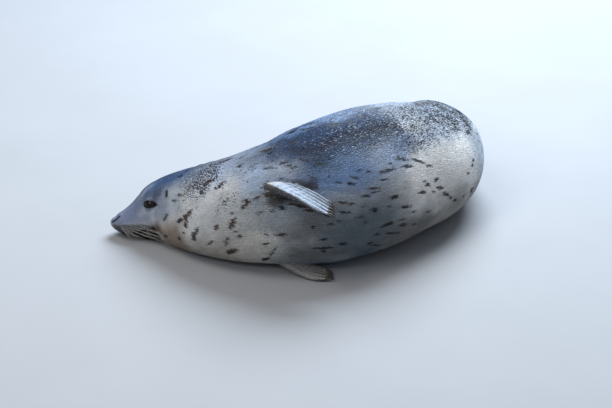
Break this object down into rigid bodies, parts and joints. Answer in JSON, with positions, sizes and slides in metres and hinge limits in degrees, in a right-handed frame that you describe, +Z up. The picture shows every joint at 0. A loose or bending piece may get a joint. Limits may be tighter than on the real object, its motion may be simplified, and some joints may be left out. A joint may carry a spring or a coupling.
{
  "type": "harbor seal",
  "caption": "Life-size still model of a harbor seal lying on its flank, head low and to one side, upper fore flipper folded over the belly, rear curled away.",
  "frame": {"origin": "middle of the footprint of the bounding box, on the ground the seal lies on", "axes": "+Z up from the ground; -X is the way the nose points, and +X the way the trunk runs from it; -Y is the side the belly faces, and +Y the side the back faces and the rear curls to"},
  "size_m": [0.962, 0.9176, 0.3443],
  "materials": {
    "coat": "short fur lying flat, matt",
    "nose": "damp skin, satin",
    "eye": "wet, polished",
    "claw": "horn, satin"
  },
  "bodies": {
    "root": {"head": "coat", "lower_jaw": "coat", "neck": "coat", "chest": "coat", "belly": "coat", "hips": "coat", "rump": "coat", "tail": "coat", "fore_flipper_left": "coat", "fore_flipper_right": "coat", "hind_flipper_left": "coat", "hind_flipper_right": "coat", "nose": "nose", "eye_left": "eye", "eye_right": "eye", "fore_claw_left_1": "claw", "fore_claw_left_2": "claw", "fore_claw_left_3": "claw", "fore_claw_left_4": "claw", "fore_claw_left_5": "claw", "fore_claw_right_1": "claw", "fore_claw_right_2": "claw", "fore_claw_right_3": "claw", "fore_claw_right_4": "claw", "fore_claw_right_5": "claw", "hind_claw_left_1": "claw", "hind_claw_left_2": "claw", "hind_claw_left_3": "claw", "hind_claw_left_4": "claw", "hind_claw_left_5": "claw", "hind_claw_right_1": "claw", "hind_claw_right_2": "claw", "hind_claw_right_3": "claw", "hind_claw_right_4": "claw", "hind_claw_right_5": "claw"}
  },
  "joints": []
}
